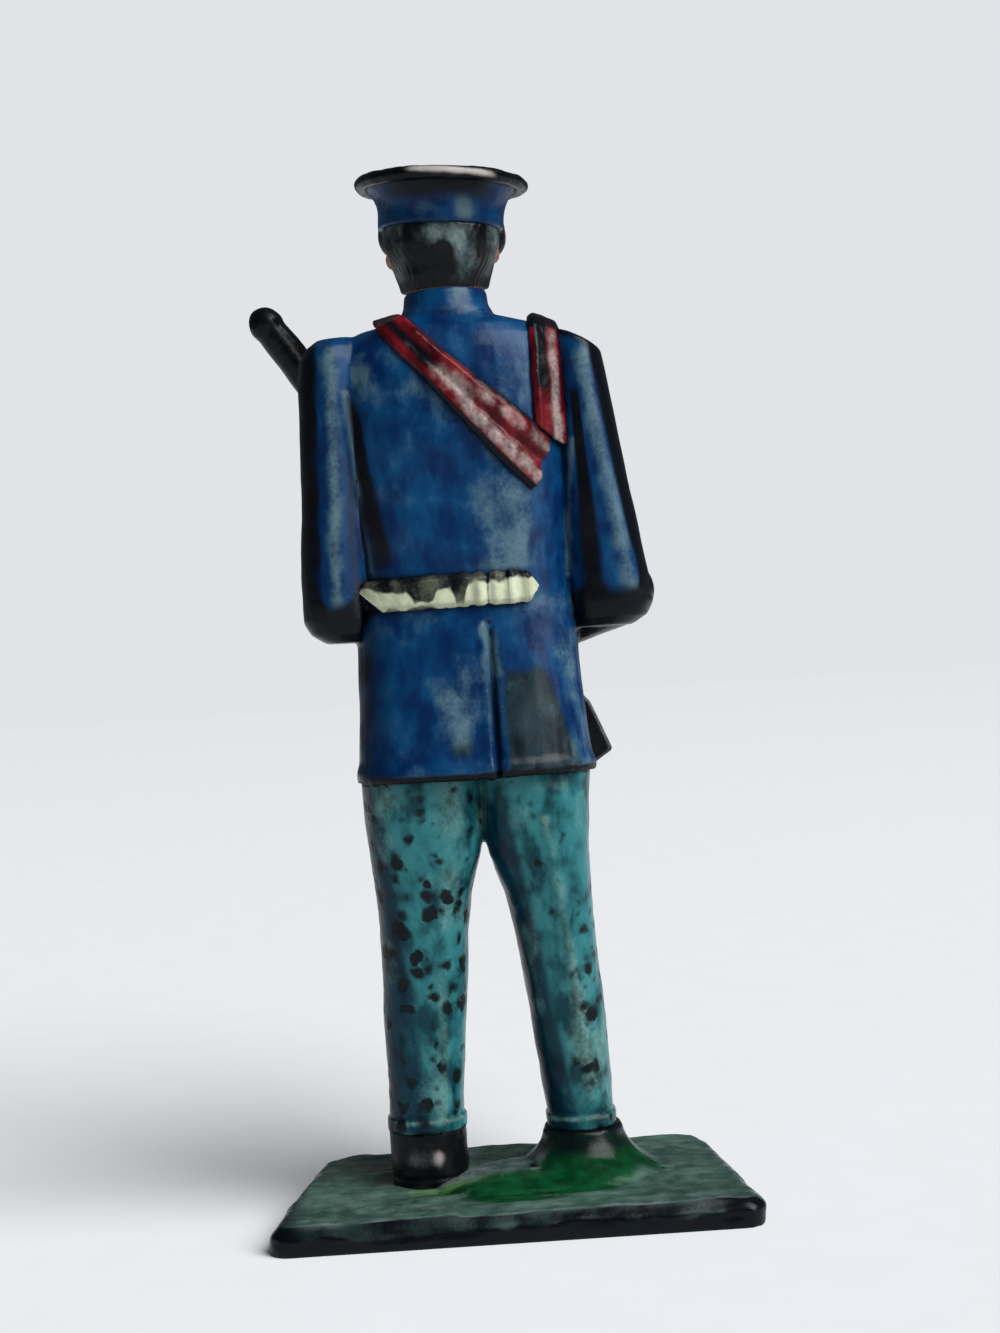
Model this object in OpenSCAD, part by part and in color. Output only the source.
// Painted cast toy soldier, standing with a rifle held across the chest.
// Millimetres. The figure faces +Y with its own left side towards -X, and stands on z = 0.
// The origin lies on the underside of the ground plate, below the middle of the figure.

/* [Ground plate] */
// Width of the plate along its rear edge
plate_rear_w = 35.6; // [34:0.2:40]
// Width of the plate along its front edge
plate_front_w = 31.6; // [28:0.2:36]
// Depth of the plate from rear to front
plate_d = 21; // [19:0.5:26]
// Thickness of the plate
plate_t = 2; // [1.8:0.1:3]
// Radius of the two rear corners
plate_rear_corner = 1.6; // [1.3:0.1:3]
// Radius of the two front corners
plate_front_corner = 3.4; // [1.3:0.1:5]
// Width of the bevel round the top edge
plate_bevel = 0.7; // [0.3:0.1:1.2]
// Height of the ground mound above the plate
mound_h = 1.1; // [0.6:0.1:2]

/* [Boots and trousers] */
// Length of a boot from heel to toe
boot_l = 8.8; // [7.5:0.1:10]
// Width of a boot
boot_w = 5.2; // [4.6:0.1:5.4]
// Height of a boot from the sole to the trouser cuff
boot_h = 4.2; // [3.4:0.1:6]
// Sideways place of the left ankle
left_ankle_x = -5.55; // [-6.5:0.05:-4.6]
// Sideways place of the right ankle
right_ankle_x = 6.3; // [5.4:0.05:7]
// Place of the left ankle along the depth
left_ankle_y = 0.6; // [-1:0.1:1.5]
// Place of the right ankle along the depth
right_ankle_y = 1.7; // [0:0.1:2.5]
// Length of the trousers from cuff to coat hem
trouser_len = 26.8; // [22:0.2:32]
// Width of the left thigh at the coat hem
left_thigh_w = 9; // [7.5:0.1:9.2]
// Width of the right thigh at the coat hem
right_thigh_w = 8.2; // [7.5:0.1:9]
// Depth of a thigh at the coat hem
thigh_d = 9.4; // [8:0.1:10.5]
// Height of the turned cuff
cuff_h = 1; // [0.6:0.1:1.4]

/* [Coat] */
// Length of the coat's skirt from hem to waist
skirt_len = 12.5; // [11:0.2:16]
// Width of the skirt at its hem
hem_w = 18; // [17.6:0.1:20]
// Width of the coat at the waist
waist_w = 16.6; // [15.6:0.1:17.4]
// Depth of the skirt at its hem
hem_d = 12.6; // [11.6:0.1:13.4]
// Length of the coat from waist to neck
coat_len = 22.1; // [20:0.2:25]
// Width of the coat at the chest
chest_w = 16.8; // [16:0.1:17.6]
// Depth of the back, from the middle of the body
back_d = 5.3; // [4.8:0.1:5.8]
// Depth of the chest, from the middle of the body
front_d = 5.7; // [5.2:0.1:6]
// Height of the standing collar
collar_h = 2.3; // [1.8:0.1:2.5]
// Outside radius of the collar
collar_r = 3.25; // [3:0.05:3.6]

/* [Sleeves and hands] */
// Sideways reach of the left elbow
left_elbow_reach = 12.3; // [11.8:0.05:13]
// Sideways reach of the right elbow
right_elbow_reach = 14.35; // [13.6:0.05:15]
// Sideways reach of the left shoulder
left_shoulder_reach = 11.3; // [10.8:0.05:12.2]
// Sideways reach of the right shoulder
right_shoulder_reach = 11.2; // [10.8:0.05:12]
// Depth of an upper sleeve
sleeve_d = 6; // [5:0.1:7]
// Depth of the elbow below the waist
elbow_drop = 1.9; // [1:0.1:3]
// Radius of a sleeve at the wrist
wrist_r = 1.75; // [1.5:0.05:2]
// Thickness of a closed hand round the corners of the stock
palm_t = 0.32; // [0.2:0.02:0.5]

/* [Straps and belt] */
// Width of the bandolier at its low end
bandolier_w = 4; // [3.4:0.1:4.4]
// Width of the right shoulder strap
strap_w = 1.8; // [1.4:0.1:2.2]
// Thickness of the straps
strap_t = 0.6; // [0.4:0.05:0.9]
// Height of the waist belt
belt_h = 2.4; // [1.8:0.1:3]
// Thickness of the waist belt
belt_t = 0.75; // [0.5:0.05:1]
// Radius of a coat button
button_r = 0.6; // [0.4:0.05:0.8]

/* [Head and cap] */
// Height of the head from neck to cap seat
head_h = 7; // [6.4:0.1:8.5]
// Width of the head at the temples
head_w = 8.9; // [8.2:0.1:9.1]
// Depth of the head from face to back
head_d = 9; // [8.2:0.1:9.1]
// Radius of the cap's band
band_r = 4.7; // [4.6:0.05:5.2]
// Height of the cap's band
band_h = 0.9; // [0.8:0.05:1.4]
// Radius of the cap's crown at the rim
crown_r = 6.1; // [5.6:0.05:6.8]
// Height of the crown from band to rim
crown_h = 2.3; // [2:0.1:3]
// Radius of the rolled rim
rim_r = 0.45; // [0.35:0.05:0.6]
// Tilt of the cap, front up
cap_tilt = 4; // [0:0.5:8]
// Lean of the cap towards the right ear
cap_lean = 3.5; // [0:0.5:6]
// Reach of the visor in front of the band
visor_reach = 2.9; // [2:0.1:4]

/* [Rifle] */
// Length of the rifle from butt to muzzle
rifle_len = 45.4; // [41:0.2:48]
// Slope of the rifle from level
rifle_slope = 56; // [52:0.5:60]
// Depth of the stock, through the rifle
stock_d = 2.5; // [2.2:0.1:3]
// Height of the fore-end, across the rifle
fore_end_h = 2.7; // [2.6:0.1:3.2]
// Height of the butt plate
butt_h = 4.8; // [4:0.1:5.6]
// Radius of the barrel
barrel_r = 1.35; // [1:0.05:1.5]

/* [Hidden] */
$fn = 48;
// Points round a lofted section, and steps along a lofted piece or a band
loft_sides = 40;
loft_steps = 18;
coat_steps = 24;
band_steps = 36;
// Points round a form that only a hull uses
hull_fn = 28;
// Steps round a corner of the plate
corner_steps = 6;
// How far a cut runs past the face that it opens
overrun = 0.5;
// Gap between two pieces that meet, and round a peg in its socket
seam = 0.05;
peg_gap = 0.05;

// Levels up the figure
cuff_z = plate_t + boot_h;
hem_z = cuff_z + trouser_len;
waist_z = hem_z + skirt_len;
neck_z = waist_z + coat_len;
cap_z = neck_z + head_h;
elbow_z = waist_z - elbow_drop;

// Pegs of the fixed joints, each a radius and a length
foot_peg = [1, 1.3];
shaft_peg = [1.9, 2.4];
hip_peg = [2.2, 2.4];
waist_peg = [3, 2.4];
shoulder_peg = [1.3, 2.4];
neck_peg = [2.2, 2.4];
cap_peg = [1.8, 0.5];
wrist_peg = [0.8, 1.4];
barrel_tail = [0.8, 3];

// Shares that shape the lofted forms, in rows from the lower end to the upper end.
// Each row: share of the length, of the half width, of the rear and front depth, and the squareness.
coat_shares = [
    [0.00, 0.98, 0.97, 0.94, 2.7],
    [0.14, 0.97, 0.96, 0.94, 2.7],
    [0.46, 1.00, 1.00, 1.03, 2.8],
    [0.73, 1.00, 1.00, 1.00, 2.8],
    [0.86, 0.99, 0.94, 0.91, 2.7],
    [0.93, 0.94, 0.85, 0.81, 2.5],
    [0.97, 0.78, 0.74, 0.71, 2.3],
    [1.00, 0.45, 0.62, 0.58, 2.1],
];
skirt_shares = [
    [0.00, 1.00, 1.00, 1.00, 2.8],
    [0.05, 1.00, 1.00, 1.00, 2.8],
    [0.10, 0.99, 0.98, 0.98, 2.8],
    [0.55, 0.98, 0.90, 0.92, 2.8],
    [1.00, 1.00, 0.82, 0.86, 2.7],
];
head_shares = [
    [0.22, 0.74, 0.68, 0.72, 2.1],
    [0.36, 0.83, 0.78, 0.92, 2.2],
    [0.55, 0.91, 0.90, 0.95, 2.2],
    [0.75, 0.97, 0.98, 0.95, 2.2],
    [1.00, 1.00, 1.00, 0.97, 2.1],
];
// The same for limbs: share of the length, of the width, of the way along the limb's line,
// of the depth, and the squareness.
leg_shares = [
    [0.00, 0.61, 0.00, 0.62, 2.4],
    [0.30, 0.68, 0.30, 0.66, 2.4],
    [0.65, 0.78, 0.74, 0.78, 2.6],
    [0.80, 0.95, 1.05, 0.92, 2.9],
    [1.00, 1.00, 1.00, 1.00, 3.0],
];
sleeve_shares = [
    [0.00, 0.70, 0.00, 0.62, 2.3],
    [0.02, 0.86, 0.01, 0.80, 2.3],
    [0.06, 1.00, 0.05, 1.00, 2.4],
    [0.50, 1.00, 0.50, 0.98, 2.4],
    [0.93, 1.00, 0.95, 0.95, 2.4],
    [0.97, 0.91, 0.98, 0.84, 2.3],
    [1.00, 0.72, 1.00, 0.58, 2.3],
];

function mix(a, b, t) = a + (b - a) * t;
function unit(v) = v / norm(v);

// Smooth value of column k in a table of rows, at share s of its length
function row_before(rows, s, i = 0) =
    i >= len(rows) - 2 || s < rows[i + 1][0] ? i : row_before(rows, s, i + 1);
function slope_at(rows, i, k) =
    let (a = rows[max(i - 1, 0)], b = rows[min(i + 1, len(rows) - 1)])
    (b[k] - a[k]) / (b[0] - a[0]);
function smooth_at(rows, s, k) =
    let (
        i = row_before(rows, s),
        a = rows[i],
        b = rows[i + 1],
        h = b[0] - a[0],
        t = (s - a[0]) / h
    )
    (2 * t^3 - 3 * t^2 + 1) * a[k] + (t^3 - 2 * t^2 + t) * h * slope_at(rows, i, k)
    + (3 * t^2 - 2 * t^3) * b[k] + (t^3 - t^2) * h * slope_at(rows, i + 1, k);

// One level section: a rounded square with its own depth behind and in front
function section(centre, half_w, rear, front, squareness) = [
    for (i = [0 : loft_sides - 1])
        let (
            a = 360 * i / loft_sides,
            x = sign(cos(a)) * abs(cos(a))^(2 / squareness),
            y = sign(sin(a)) * abs(sin(a))^(2 / squareness)
        )
        centre + [half_w * x, (y < 0 ? rear : front) * y, 0]
];

// A closed skin over sections that all have as many points
module skin(sections) {
    sides = len(sections[0]);
    last = len(sections) - 1;
    walls = [
        for (r = [0 : last - 1], i = [0 : sides - 1])
            let (j = (i + 1) % sides, a = r * sides, b = a + sides)
            each [[a + i, b + j, a + j], [a + i, b + i, b + j]]
    ];
    foot = [for (i = [1 : sides - 2]) [0, i, i + 1]];
    top = [for (i = [1 : sides - 2]) [last * sides, last * sides + i + 1, last * sides + i]];
    polyhedron(points = [for (s = sections) each s], faces = concat(walls, foot, top));
}

// Turns children so that their Z axis runs from a to b
module along(a, b) {
    d = b - a;
    translate(a)
        rotate([0, acos(d.z / norm(d)), atan2(d.y, d.x)])
            children();
}

module peg(size) {
    cylinder(r = size[0], h = size[1]);
}

// The hole that a peg fits, opened past its mouth
module socket(size) {
    translate([0, 0, -overrun])
        cylinder(r = size[0] + peg_gap, h = size[1] + peg_gap + overrun);
}

// Ground plate

// The figure stands a little to the left of the plate's middle
plate_shift_x = 0.9;

// The plate's outline at a height, drawn in by a margin: width, side, rear or front, radius, first angle
function plate_outline(margin, z) = [
    for (corner = [
        [plate_front_w, 1, 1, plate_front_corner, 0],
        [plate_front_w, -1, 1, plate_front_corner, 90],
        [plate_rear_w, -1, -1, plate_rear_corner, 180],
        [plate_rear_w, 1, -1, plate_rear_corner, 270]
    ])
        let (
            r = corner[3],
            x = plate_shift_x + corner[1] * (corner[0] / 2 - r),
            y = corner[2] * (plate_d / 2 - r)
        )
        for (i = [0 : corner_steps])
            let (a = corner[4] + 90 * i / corner_steps)
            [x + (r - margin) * cos(a), y + (r - margin) * sin(a), z]
];

// A low mound that runs from behind the left heel to the right foot, as a rounded oval
mound_turn = 16;
mound_length_share = 0.46;
mound_depth_share = 0.44;
// Place of its middle, as shares of the way between the ankles and of the plate's half depth
mound_place_shares = [0.72, -0.02];
mound_steps = 6;
module mound() {
    half_l = mound_length_share * plate_rear_w / 2;
    half_d = mound_depth_share * plate_d / 2;
    middle_x = mix(left_ankle_x, right_ankle_x, mound_place_shares[0]);
    translate([middle_x, mound_place_shares[1] * plate_d / 2, plate_t])
        rotate([0, 0, mound_turn])
            skin([
                section([0, 0, -overrun], half_l, half_d, half_d, 2),
                for (i = [0 : mound_steps - 1])
                    let (a = 90 * i / mound_steps)
                    section([0, 0, mound_h * sin(a)], half_l * cos(a), half_d * cos(a), half_d * cos(a), 2)
            ]);
}

// The ground banks up behind the right boot, in a hollow curve that ends just below the cuff
bank_reach = 3;
bank_wall = 0.4;
bank_back = 0.5;
bank_steps = 6;
module foot_bank() {
    top_r = boot_w / 2 + bank_wall;
    top = boot_h - right_cuff_drop - 2 * seam;
    translate([right_ankle_x, right_ankle_y - bank_back, plate_t])
        rotate_extrude()
            polygon(concat(
                [[0, -overrun], [top_r + bank_reach, -overrun]],
                [for (i = [0 : bank_steps]) [top_r + bank_reach * (1 - i / bank_steps)^2, top * i / bank_steps]],
                [[0, top]]
            ));
}

module base_plate() {
    edge_t = plate_t - plate_bevel;
    color("darkgreen")
        difference() {
            union() {
                skin([plate_outline(0, 0), plate_outline(0, edge_t), plate_outline(plate_bevel, plate_t)]);
                mound();
                foot_bank();
            }
            boot_form(left_ankle_x, left_ankle_y, 0, seam);
            boot_form(right_ankle_x, right_ankle_y, right_cuff_drop, seam);
            for (foot = [[left_ankle_x, left_ankle_y], [right_ankle_x, right_ankle_y]])
                translate([foot.x, foot.y, plate_t])
                    mirror([0, 0, 1])
                        socket(foot_peg);
        }
}

// Boots

// The right foot stands in the mound, so its cuff is lower
right_cuff_drop = 0.7;
// How much of the boot lies behind the ankle, and how narrow and low the foot is before it
heel_share = 0.29;
toe_share = 0.84;
instep_share = 0.62;

// A boot's outside, grown by a margin on every side but its sole
module boot_form(x, y, drop, margin) {
    heel_r = boot_w / 2;
    toe_r = toe_share * heel_r;
    top = boot_h - drop;
    heel_y = heel_r - heel_share * boot_l;
    toe_y = (1 - heel_share) * boot_l - toe_r;
    translate([x, y, plate_t]) {
        hull() {
            translate([0, heel_y, 0])
                cylinder(r = heel_r + margin, h = top + margin, $fn = hull_fn);
            translate([0, heel_y + heel_r * instep_share, 0])
                cylinder(r = heel_r * instep_share + margin, h = top + margin, $fn = hull_fn);
        }
        hull() {
            translate([0, heel_y, 0])
                cylinder(r = heel_r + margin, h = top * instep_share + margin, $fn = hull_fn);
            translate([0, toe_y, 0])
                cylinder(r1 = toe_r + margin, r2 = toe_r * instep_share + margin,
                    h = top * instep_share + margin, $fn = hull_fn);
        }
    }
}

module boot(x, y, drop) {
    color("black")
        union() {
            boot_form(x, y, drop, 0);
            translate([x, y, plate_t + boot_h - drop])
                peg(shaft_peg);
            translate([x, y, plate_t])
                mirror([0, 0, 1])
                    peg(foot_peg);
        }
}

module left_boot() {
    boot(left_ankle_x, left_ankle_y, 0);
}

module right_boot() {
    boot(right_ankle_x, right_ankle_y, right_cuff_drop);
}

// Trousers

cuff_lip = 0.18;
thigh_gap = 0.1;
// The line where the two thighs meet
crotch_x = 0.25;
function hip_x(side, thigh_w) = crotch_x + side * (thigh_w + thigh_gap) / 2;

// One leg between its cuff and the coat hem
function leg_sections(ankle, hip, thigh_w, foot_z) =
    let (
        length = hem_z - seam - foot_z,
        cuff = cuff_h / length,
        steps = [0, cuff, cuff + cuff_lip / length, for (i = [2 : loft_steps]) i / loft_steps]
    )
    [
        for (s = steps)
            let (
                way = smooth_at(leg_shares, s, 2),
                lip = s <= cuff ? cuff_lip : 0,
                half_w = thigh_w / 2 * smooth_at(leg_shares, s, 1) + lip,
                half_d = thigh_d / 2 * smooth_at(leg_shares, s, 3) + lip
            )
            section([mix(ankle.x, hip, way), mix(ankle.y, 0, way), foot_z + s * length],
                half_w, half_d, half_d, smooth_at(leg_shares, s, 4))
    ];

module trouser_leg(ankle, thigh_w, foot_z) {
    hip = hip_x(sign(ankle.x), thigh_w);
    color("teal")
        difference() {
            union() {
                skin(leg_sections(ankle, hip, thigh_w, foot_z + seam));
                translate([hip, 0, hem_z - seam])
                    peg(hip_peg);
            }
            translate([ankle.x, ankle.y, foot_z])
                socket(shaft_peg);
        }
}

module left_trouser_leg() {
    trouser_leg([left_ankle_x, left_ankle_y], left_thigh_w, cuff_z);
}

module right_trouser_leg() {
    trouser_leg([right_ankle_x, right_ankle_y], right_thigh_w, cuff_z - right_cuff_drop);
}

// Coat

// The skirt's section at a share of its height
function skirt_section(s, z) =
    section([0, 0, z], mix(hem_w, waist_w, s) / 2 * smooth_at(skirt_shares, s, 1),
        hem_d / 2 * smooth_at(skirt_shares, s, 2), hem_d / 2 * smooth_at(skirt_shares, s, 3),
        smooth_at(skirt_shares, s, 4));

// The vent behind: a groove up from the hem
vent_w = 0.55;
vent_depth = 0.7;
vent_x = 1.7;
vent_share = 0.88;
module vent_cut() {
    last = len(skirt_shares) - 1;
    rear_slope = atan(hem_d / 2 * (1 - skirt_shares[last][2]) / skirt_len);
    translate([vent_x, -hem_d / 2, hem_z])
        rotate([-rear_slope, 0, 0])
            translate([-vent_w / 2, -hem_d, -overrun])
                cube([vent_w, hem_d + vent_depth, vent_share * skirt_len + overrun]);
}

module coat_skirt() {
    color("navy")
        difference() {
            union() {
                skin([
                    for (i = [0 : loft_steps])
                        let (s = i / loft_steps)
                        skirt_section(s, hem_z + s * (skirt_len - seam))
                ]);
                translate([0, 0, waist_z - seam])
                    peg(waist_peg);
            }
            for (leg = [[-1, left_thigh_w], [1, right_thigh_w]])
                translate([hip_x(leg[0], leg[1]), 0, hem_z])
                    socket(hip_peg);
            vent_cut();
        }
}

// Half width, rear depth, front depth and squareness of the coat's body at a height
function coat_at(z) =
    let (s = (z - waist_z) / coat_len)
    [
        chest_w / 2 * smooth_at(coat_shares, s, 1),
        back_d * smooth_at(coat_shares, s, 2),
        front_d * smooth_at(coat_shares, s, 3),
        smooth_at(coat_shares, s, 4)
    ];

// The coat's outside between waist and neck, grown by a margin
module coat_form(margin) {
    skin([
        for (i = [0 : coat_steps])
            let (z = waist_z + i / coat_steps * coat_len, at = coat_at(z))
            section([0, 0, z + margin * (2 * i / coat_steps - 1)],
                at[0] + margin, at[1] + margin, at[2] + margin, at[3])
    ]);
}

// Height and depth of the shoulder pegs, as shares of the coat's length and of the back
shoulder_peg_shares = [0.74, 0.1];
shoulder_peg_z = waist_z + shoulder_peg_shares[0] * coat_len;
shoulder_peg_y = -shoulder_peg_shares[1] * back_d;
// Where a shoulder peg ends in the coat, and where it is rooted in the sleeve
function shoulder_peg_end(side) =
    [side * (coat_at(shoulder_peg_z)[0] - shoulder_peg[1]), shoulder_peg_y, shoulder_peg_z];
function shoulder_peg_root(side) = shoulder_peg_end(side) + [side * 2 * shoulder_peg[1], 0, 0];

module coat_body() {
    color("navy")
        difference() {
            coat_form(0);
            translate([0, 0, waist_z])
                socket(waist_peg);
            translate([0, 0, neck_z])
                mirror([0, 0, 1])
                    socket(neck_peg);
            for (side = [-1, 1])
                along(shoulder_peg_end(side), shoulder_peg_root(side))
                    translate([0, 0, -peg_gap])
                        cylinder(r = shoulder_peg[0] + peg_gap, h = 2 * shoulder_peg[1]);
        }
}

collar_flare = 0.25;
collar_round = 0.4;
module coat_collar() {
    color("navy")
        translate([0, 0, neck_z + seam])
            rotate_extrude()
                polygon([
                    [neck_peg[0] + peg_gap, 0],
                    [collar_r + collar_flare, 0],
                    [collar_r, collar_h - collar_round],
                    [collar_r - collar_round, collar_h],
                    [neck_peg[0] + peg_gap, collar_h]
                ]);
}

// Bands laid on the coat

// Distance from a point inside the coat to its surface along a direction
function in_coat(p) =
    let (at = coat_at(p.z), deep = p.y < 0 ? at[1] : at[2])
    p.z > waist_z && p.z < neck_z && (abs(p.x) / at[0])^at[3] + (abs(p.y) / deep)^at[3] < 1;
function reach(p, d, near = 0, far = chest_w, passes = 16) =
    let (middle = (near + far) / 2)
    passes == 0 ? middle
    : in_coat(p + middle * d) ? reach(p, d, middle, far, passes - 1)
    : reach(p, d, near, middle, passes - 1);
function ray(u, v, turn) = cos(turn) * u + sin(turn) * v;

// A band in the plane through middle that holds the directions u and v. Each row of its profile gives
// a share of the half width, and the shares of the thickness there towards u and away from u.
// turns holds the first and last angle from u towards v for each row. The band narrows to far_share of
// its width on the side away from u, and to round ends over end_share of its length.
function band_width_share(far_share, aim, u) = mix(far_share, 1, (1 + aim * u) / 2);
module coat_band(middle, u, v, turns, width, thickness, profile, far_share, end_share) {
    across = cross(u, v) * width / 2;
    rows = len(profile) - 1;
    skin([
        for (k = [0 : band_steps])
            let (
                s = (1 - cos(180 * k / band_steps)) / 2,
                left = end_share > 0 ? max(0, 1 - min(s, 1 - s) / end_share) : 0,
                narrow = max(sqrt(1 - left^2), end_share),
                rays = [for (i = [0 : rows]) ray(u, v, mix(turns[i][0], turns[i][1], s))],
                starts = [
                    for (i = [0 : rows])
                        middle + across * profile[i][0] * narrow * band_width_share(far_share, rays[i], u)
                ],
                seats = [for (i = [0 : rows]) reach(starts[i], rays[i]) + seam],
                lifts = [
                    for (i = [0 : rows])
                        mix(profile[i][2], profile[i][1], (1 + rays[i] * u) / 2) * thickness
                ]
            )
            concat(
                [for (i = [0 : rows]) starts[i] + seats[i] * rays[i]],
                [for (i = [rows : -1 : 0]) starts[i] + (seats[i] + lifts[i]) * rays[i]]
            )
    ]);
}

// The line of the bandolier across the back: its high and low end, as shares of the half chest
// and of the coat's length
bandolier_high_shares = [-0.39, 0.966];
bandolier_low_shares = [0.85, 0.472];
function on_back(shares) = [shares[0] * chest_w / 2, 0, waist_z + shares[1] * coat_len];
bandolier_middle = (on_back(bandolier_low_shares) + on_back(bandolier_high_shares)) / 2;
bandolier_u = unit(on_back(bandolier_low_shares) - on_back(bandolier_high_shares));
depth_v = [0, 1, 0];
// It sags a little behind, and narrows over the shoulder
bandolier_sag_share = 0.13;
bandolier_far_share = 0.5;
bandolier_v = unit(depth_v + bandolier_sag_share * cross(bandolier_u, depth_v));
bandolier_across = cross(bandolier_u, bandolier_v);
// It stops short of the right sleeve, behind and in front
bandolier_stop = 33;
// Two ridges that part towards the low end
bandolier_shares = [
    [-1.00, 0.50, 0.50],
    [-0.78, 1.00, 1.00],
    [-0.30, 1.00, 1.00],
    [-0.08, 0.40, 1.00],
    [0.08, 0.40, 1.00],
    [0.30, 1.00, 1.00],
    [0.78, 1.00, 1.00],
    [1.00, 0.50, 0.50],
];
flat_band_shares = [[-1.0, 0.5, 0.5], [-0.7, 1.0, 1.0], [0.7, 1.0, 1.0], [1.0, 0.5, 0.5]];

module bandolier() {
    color("firebrick")
        difference() {
            coat_band(bandolier_middle, bandolier_u, bandolier_v,
                [for (row = bandolier_shares) [bandolier_stop, 360 - bandolier_stop]],
                bandolier_w, strap_t, bandolier_shares, bandolier_far_share, 0);
            translate([0, 0, neck_z - overrun])
                cylinder(r = collar_r + collar_flare + seam, h = collar_h + overrun);
        }
}

// The right shoulder strap: from the bandolier behind, over the shoulder, to the bandolier in front,
// with its ends mitred along the bandolier's edge
strap_x_share = 0.84;
strap_middle_share = 0.73;
strap_middle = [strap_x_share * chest_w / 2, 0, waist_z + strap_middle_share * coat_len];
strap_limit = 80;
up_v = [0, 0, 1];
function past_bandolier(p) =
    let (
        from_middle = p - bandolier_middle,
        off = from_middle * bandolier_across,
        aim = unit(from_middle - off * bandolier_across)
    )
    off > bandolier_w / 2 * band_width_share(bandolier_far_share, aim, bandolier_u) + seam;
function mitre_turn(start, near, far, passes = 12) =
    let (turn = (near + far) / 2, d = ray(depth_v, up_v, turn))
    passes == 0 ? near
    : past_bandolier(start + reach(start, d) * d) ? mitre_turn(start, turn, far, passes - 1)
    : mitre_turn(start, near, turn, passes - 1);

module shoulder_strap() {
    across = cross(depth_v, up_v) * strap_w / 2;
    color("firebrick")
        coat_band(strap_middle, depth_v, up_v,
            [
                for (row = flat_band_shares)
                    let (start = strap_middle + across * row[0])
                    [mitre_turn(start, 90, -strap_limit), mitre_turn(start, 90, 180 + strap_limit)]
            ],
            strap_w, strap_t, flat_band_shares, 1, 0);
}

// The belt lies just above the waist seam. Its runs end at these angles from the figure's right side.
belt_z = waist_z + 2 * seam + belt_h / 2;
belt_back_turns = [196, 318];
belt_front_turns = [60, 128];
belt_end_share = 0.08;
module belt_run(turns) {
    color("ivory")
        coat_band([0, 0, belt_z], [1, 0, 0], depth_v, [for (row = flat_band_shares) turns],
            belt_h, belt_t, flat_band_shares, 1, belt_end_share);
}

module belt_back() {
    belt_run(belt_back_turns);
}

module belt_front() {
    belt_run(belt_front_turns);
}

buckle_w = 3;
buckle_t = 0.45;
module belt_plate() {
    face_y = reach([0, 0, belt_z], depth_v) + 2 * seam + belt_t;
    color("goldenrod")
        translate([-buckle_w / 2, face_y, belt_z - belt_h / 2])
            cube([buckle_w, buckle_t, belt_h]);
}

// Domed coat buttons in a row down the chest, above the belt
button_count = 4;
button_row_shares = [0.30, 0.84];
module coat_buttons() {
    color("goldenrod")
        for (i = [0 : button_count - 1])
            let (
                z = waist_z + coat_len * mix(button_row_shares[0], button_row_shares[1], i / (button_count - 1)),
                y = reach([0, 0, z], depth_v) + seam
            )
            translate([0, y, z])
                rotate([-90, 0, 0])
                    intersection() {
                        sphere(r = button_r);
                        translate([-button_r, -button_r, 0])
                            cube(2 * button_r);
                    }
}

// Rifle

// The rifle's own frame runs along the bore from the butt, with its Z towards the trigger side.
// The butt's place is measured from the middle of the figure and from the coat hem.
butt_reach = 9.95;
butt_rise = 0.25;
rifle_y = 8.1;
rifle_dir = [-cos(rifle_slope), 0, sin(rifle_slope)];
rifle_foot = [butt_reach, rifle_y, hem_z + butt_rise];
function on_bore(share) = rifle_foot + share * rifle_len * rifle_dir;

module on_rifle() {
    translate(rifle_foot)
        rotate([0, rifle_slope - 180, 0])
            children();
}

// Stations along the stock, as shares of the rifle's length
cheek_share = 0.09;
comb_share = 0.17;
grip_share = 0.24;
breech_share = 0.34;
fore_end_share = 0.784;
heel_drop = 0.3;
cheek_rise = 0.6;
grip_h = 2.3;
fore_end_round = 0.6;
function stock_outline(margin) =
    let (
        top = -fore_end_h / 2 - margin,
        belly = fore_end_h / 2 + margin,
        low_top = top + heel_drop,
        grip_belly = heel_drop + grip_h - fore_end_h / 2 + margin,
        cheek = cheek_share * rifle_len,
        comb = comb_share * rifle_len,
        grip = grip_share * rifle_len,
        breech = breech_share * rifle_len,
        fore = fore_end_share * rifle_len + margin
    )
    [
        [-margin, low_top],
        [cheek, top - cheek_rise],
        [grip, low_top],
        [breech, top],
        [fore - fore_end_round, top],
        [fore, top + fore_end_round],
        [fore, belly - fore_end_round],
        [fore - fore_end_round, belly],
        [breech, belly],
        [grip, grip_belly],
        [comb, grip_belly],
        [-margin, heel_drop + butt_h - fore_end_h / 2 + margin]
    ];

module stock_form(margin) {
    on_rifle()
        rotate([90, 0, 0])
            linear_extrude(height = stock_d + 2 * margin, center = true)
                polygon(stock_outline(margin));
}

module rifle_stock() {
    color("black")
        difference() {
            stock_form(0);
            along(on_bore(fore_end_share), on_bore(0))
                socket(barrel_tail);
        }
}

muzzle_share = 0.9;
module rifle_barrel() {
    free_len = (1 - fore_end_share) * rifle_len;
    tip = barrel_r * muzzle_share;
    color("black")
        along(on_bore(fore_end_share), on_bore(1)) {
            translate([0, 0, seam])
                cylinder(r1 = barrel_r, r2 = tip, h = free_len - tip - seam);
            translate([0, 0, free_len - tip])
                sphere(r = tip);
            translate([0, 0, -barrel_tail[1]])
                cylinder(r = barrel_tail[0], h = barrel_tail[1] + overrun);
        }
}

// Hands, closed round the rifle

left_hand_share = 0.568;
right_hand_share = 0.248;
hand_span = 1.3;
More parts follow.
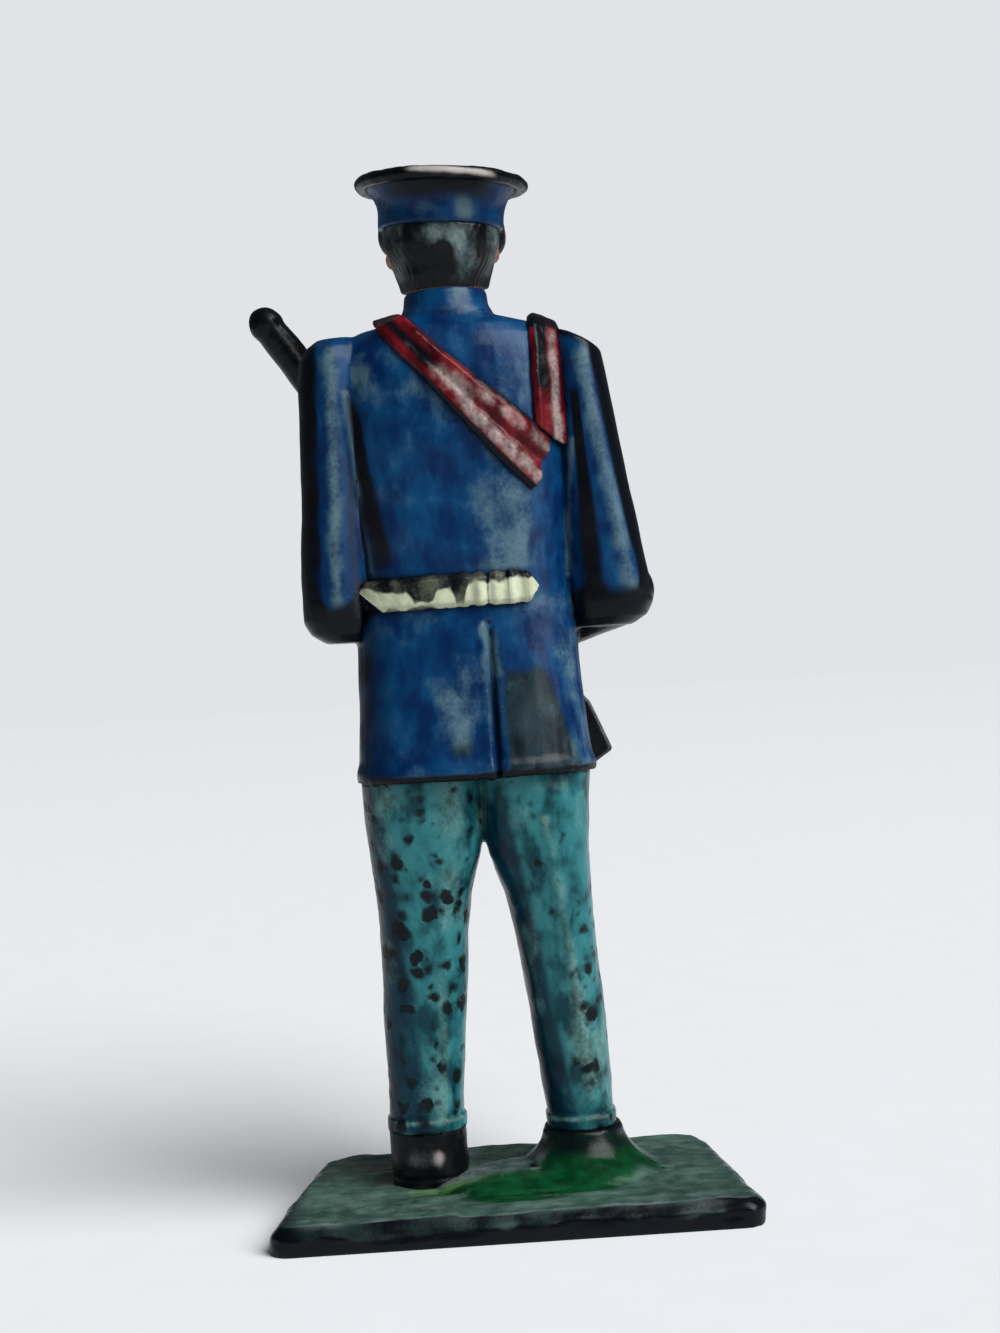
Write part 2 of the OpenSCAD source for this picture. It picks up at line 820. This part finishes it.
// How far a hand's middle lies behind the bore
hand_back = 0.2;
hand_r = norm([stock_d / 2 + hand_back, fore_end_h / 2]) + palm_t;
function hand_at(share) = on_bore(share) - [0, hand_back, 0];
left_hand_at = hand_at(left_hand_share);
right_hand_at = hand_at(right_hand_share);

// The middle of an elbow's bend, and the wrist that the forearm ends at
elbow_r_share = 0.42;
elbow_r = elbow_r_share * sleeve_d;
sleeve_back_share = 0.17;
sleeve_y = -sleeve_back_share * sleeve_d;
left_elbow = [elbow_r - left_elbow_reach, sleeve_y, elbow_z + elbow_r];
right_elbow = [right_elbow_reach - elbow_r, sleeve_y, elbow_z + elbow_r];
function wrist_of(elbow, hand) = hand + unit(elbow - hand) * hand_r;

module hand(at, elbow) {
    color("peachpuff")
        difference() {
            union() {
                difference() {
                    hull()
                        for (end = [-1, 1])
                            translate(at + end * hand_span / 2 * rifle_dir)
                                sphere(r = hand_r, $fn = hull_fn);
                    along(wrist_of(elbow, at), elbow)
                        translate([-2 * hand_r, -2 * hand_r, 0])
                            cube(4 * hand_r);
                }
                along(at, elbow)
                    cylinder(r = wrist_peg[0], h = hand_r + wrist_peg[1]);
            }
            stock_form(seam);
        }
}

module left_hand() {
    hand(left_hand_at, left_elbow);
}

module right_hand() {
    hand(right_hand_at, right_elbow);
}

// Sleeves

shoulder_top_share = 0.945;
// How far each sleeve would reach into the coat if it weren't cut to the coat's side.
// The left sleeve laps over the side of the back, and the right one stands off it.
left_sleeve_lap = 1.8;
right_sleeve_lap = 0.4;
function sleeve_sections(side, elbow_reach, shoulder_reach, lap) =
    let (top_z = waist_z + shoulder_top_share * coat_len, inner = chest_w / 2 - lap)
    [
        for (i = [0 : loft_steps])
            let (
                s = (1 - cos(180 * i / loft_steps)) / 2,
                outer = mix(elbow_reach, shoulder_reach, smooth_at(sleeve_shares, s, 2)),
                half_w = (outer - inner) / 2 * smooth_at(sleeve_shares, s, 1),
                half_d = sleeve_d / 2 * smooth_at(sleeve_shares, s, 3)
            )
            section([side * (inner + half_w), sleeve_y, mix(elbow_z, top_z, s)],
                half_w, half_d, half_d, smooth_at(sleeve_shares, s, 4))
    ];

module forearm(elbow, wrist) {
    hull() {
        translate(elbow)
            sphere(r = elbow_r, $fn = hull_fn);
        along(wrist, elbow)
            translate([0, 0, seam])
                cylinder(r = wrist_r, h = wrist_r, $fn = hull_fn);
    }
}

// The space that the upper skirt takes, grown by a margin
module skirt_form(margin) {
    widest = skirt_section(0, 0);
    translate([0, 0, hem_z - overrun])
        linear_extrude(height = skirt_len + 2 * overrun)
            offset(delta = margin)
                polygon([for (p = widest) [p.x * waist_w / hem_w, p.y]]);
}

module sleeve(side, elbow_reach, shoulder_reach, lap, elbow, hand) {
    wrist = wrist_of(elbow, hand);
    color("navy")
        difference() {
            union() {
                difference() {
                    union() {
                        skin(sleeve_sections(side, elbow_reach, shoulder_reach, lap));
                        forearm(elbow, wrist);
                    }
                    coat_form(seam);
                    skirt_form(seam);
                    stock_form(seam);
                }
                along(shoulder_peg_end(side), shoulder_peg_root(side))
                    peg([shoulder_peg[0], 2 * shoulder_peg[1]]);
            }
            along(wrist, elbow)
                socket(wrist_peg);
        }
}

module left_sleeve() {
    sleeve(-1, left_elbow_reach, left_shoulder_reach, left_sleeve_lap, left_elbow, left_hand_at);
}

module right_sleeve() {
    sleeve(1, right_elbow_reach, right_shoulder_reach, right_sleeve_lap, right_elbow, right_hand_at);
}

// Head and cap

ear_r = 0.6;
nose_r = 0.5;
// Heights of the jaw, the ears and the two ends of the nose, as shares of the head's height
jaw_share = 0.36;
ear_share = 0.68;
ear_out_share = 0.9;
nose_shares = [0.54, 0.76];

function head_section(s, z) =
    section([0, 0, z], head_w / 2 * smooth_at(head_shares, s, 1), head_d / 2 * smooth_at(head_shares, s, 2),
        head_d / 2 * smooth_at(head_shares, s, 3), smooth_at(head_shares, s, 4));
function head_z(share) = neck_z + share * head_h;

module on_cap() {
    translate([0, 0, cap_z])
        rotate([cap_tilt, cap_lean, 0])
            children();
}

module head() {
    color("peachpuff")
        union() {
            difference() {
                union() {
                    skin([
                        for (i = [0 : loft_steps])
                            let (s = mix(jaw_share, 1, i / loft_steps))
                            head_section(s, head_z(s)),
                        head_section(1, cap_z + head_w / 2)
                    ]);
                    for (side = [-1, 1])
                        translate([side * ear_out_share * head_w / 2, 0, head_z(ear_share)])
                            sphere(r = ear_r);
                    hull()
                        for (s = nose_shares)
                            translate([0, head_d / 2 * smooth_at(head_shares, s, 3), head_z(s)])
                                sphere(r = nose_r * (1 + nose_shares[1] - s), $fn = hull_fn);
                }
                on_cap()
                    translate([-head_w, -head_w, -seam])
                        cube(2 * head_w);
            }
            translate([0, 0, neck_z - neck_peg[1]])
                cylinder(r = neck_peg[0], h = neck_peg[1] + jaw_share * head_h + overrun);
            on_cap()
                translate([0, 0, -overrun])
                    cylinder(r = cap_peg[0], h = cap_peg[1] + overrun);
        }
}

module cap_band() {
    color("navy")
        on_cap()
            difference() {
                cylinder(r = band_r, h = band_h);
                socket(cap_peg);
            }
}

// The crown swells from the band to the rim, with a low dome on top. A margin grows it all round.
dome_h = 0.7;
swell_turn = 60;
swell_step = 12;
dome_step = 15;
module crown_outline(margin) {
    foot_r = band_r + margin;
    top_r = crown_r + margin;
    swell = (crown_r - band_r) / (1 - cos(swell_turn));
    polygon(concat(
        [[0, 0], [foot_r, 0]],
        [
            for (a = [swell_step : swell_step : swell_turn])
                [foot_r + swell * (1 - cos(a)), crown_h * sin(a) / sin(swell_turn)]
        ],
        [for (a = [dome_step : dome_step : 90]) [top_r * cos(a), crown_h + dome_h * sin(a)]]
    ));
}

module on_crown() {
    on_cap()
        translate([0, 0, band_h + seam])
            children();
}

module rim_ring(r) {
    translate([0, 0, crown_h])
        rotate_extrude()
            translate([crown_r, 0])
                circle(r = r);
}

module cap_crown() {
    color("navy")
        on_crown()
            difference() {
                rotate_extrude()
                    crown_outline(0);
                rim_ring(rim_r + seam);
            }
}

module cap_rim() {
    color("black")
        on_crown()
            rim_ring(rim_r);
}

visor_t = 0.5;
visor_droop = 22;
visor_r = 4.9;
// How far the visor's middle lies below the band's lower edge
visor_low = 0.53;
module cap_visor() {
    color("black")
        on_cap()
            difference() {
                translate([0, band_r + visor_reach - visor_r, 0])
                    rotate([-visor_droop, 0, 0])
                        translate([0, 0, -visor_low])
                            cylinder(r = visor_r, h = visor_t);
                translate([0, 0, -band_r])
                    cylinder(r = band_r + seam, h = 2 * band_r);
                translate([-2 * visor_r, -4 * visor_r, -2 * visor_r])
                    cube(4 * visor_r);
            }
}

chin_strap_r = 0.28;
chin_strap_turns = [20, 160];
module chin_strap() {
    color("black")
        on_cap()
            translate([0, 0, band_h / 2])
                difference() {
                    rotate([0, 0, chin_strap_turns[0]])
                        rotate_extrude(angle = chin_strap_turns[1] - chin_strap_turns[0])
                            translate([band_r + seam, 0])
                                circle(r = chin_strap_r);
                    translate([0, 0, -band_h])
                        cylinder(r = band_r + seam, h = 2 * band_h);
                }
}

// A plain disc on the front of the crown, following its swell
badge_r = 0.75;
badge_t = 0.4;
module cap_badge() {
    color("goldenrod")
        on_crown()
            difference() {
                intersection() {
                    translate([0, 0, badge_r + seam])
                        rotate([-90, 0, 0])
                            cylinder(r = badge_r, h = crown_r + badge_t);
                    rotate_extrude()
                        crown_outline(badge_t);
                }
                rotate_extrude()
                    crown_outline(seam);
                rim_ring(rim_r + seam);
            }
}

base_plate();
left_boot();
right_boot();
left_trouser_leg();
right_trouser_leg();
coat_skirt();
coat_body();
coat_collar();
left_sleeve();
right_sleeve();
left_hand();
right_hand();
bandolier();
shoulder_strap();
belt_back();
belt_front();
belt_plate();
coat_buttons();
head();
cap_band();
cap_crown();
cap_rim();
cap_visor();
chin_strap();
cap_badge();
rifle_stock();
rifle_barrel();
